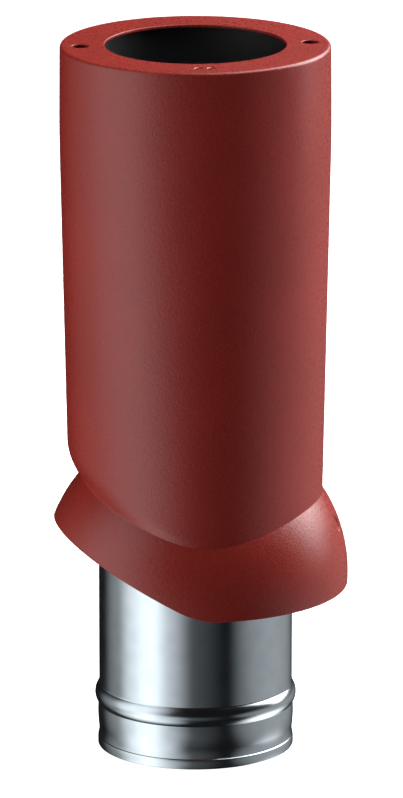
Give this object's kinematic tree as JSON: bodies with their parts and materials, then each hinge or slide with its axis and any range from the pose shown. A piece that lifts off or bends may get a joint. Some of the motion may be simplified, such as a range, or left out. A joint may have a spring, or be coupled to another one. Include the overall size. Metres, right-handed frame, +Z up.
{
  "type": "insulated roof vent pipe",
  "caption": "Upright round roof vent pipe: moulded casing with an open flat top, a domed skirt cut for a sloping roof, and an inner steel duct that sticks out below.",
  "frame": {"origin": "on the pipe's axis, in the plane of the steel duct's lower rim", "axes": "+Z up the pipe towards the open top, +X down the roof slope, towards the skirt's low side"},
  "size_m": [0.2462, 0.2552, 0.6],
  "materials": {
    "red_plastic": "fine textured satin brick red",
    "galvanised_steel": "smooth galvanised sheet",
    "black_plastic": "matt black",
    "foam": "moulded bead foam",
    "rubber": "matt black rubber",
    "zinc_plated_steel": "bright zinc plated",
    "band_plastic": "woven strapping"
  },
  "bodies": {
    "root": {"casing": "red_plastic", "roof_skirt": "red_plastic", "steel_duct": "galvanised_steel", "duct_collar": "black_plastic", "collar_gasket": "rubber", "collar_seal": "rubber", "collar_screws": "zinc_plated_steel", "duct_rivets": "zinc_plated_steel", "peg_socket_uphill": "black_plastic", "peg_socket_downhill": "black_plastic", "closing_ring": "black_plastic", "closing_seal": "rubber", "closing_ring_screws": "zinc_plated_steel", "skirt_screws": "zinc_plated_steel", "insulation_lower_front": "foam", "insulation_lower_rear": "foam", "insulation_upper_front": "foam", "insulation_upper_rear": "foam", "insulation_band_1": "band_plastic", "insulation_band_2": "band_plastic", "insulation_band_3": "band_plastic", "insulation_band_4": "band_plastic", "spacer_ring": "black_plastic"}
  },
  "joints": []
}
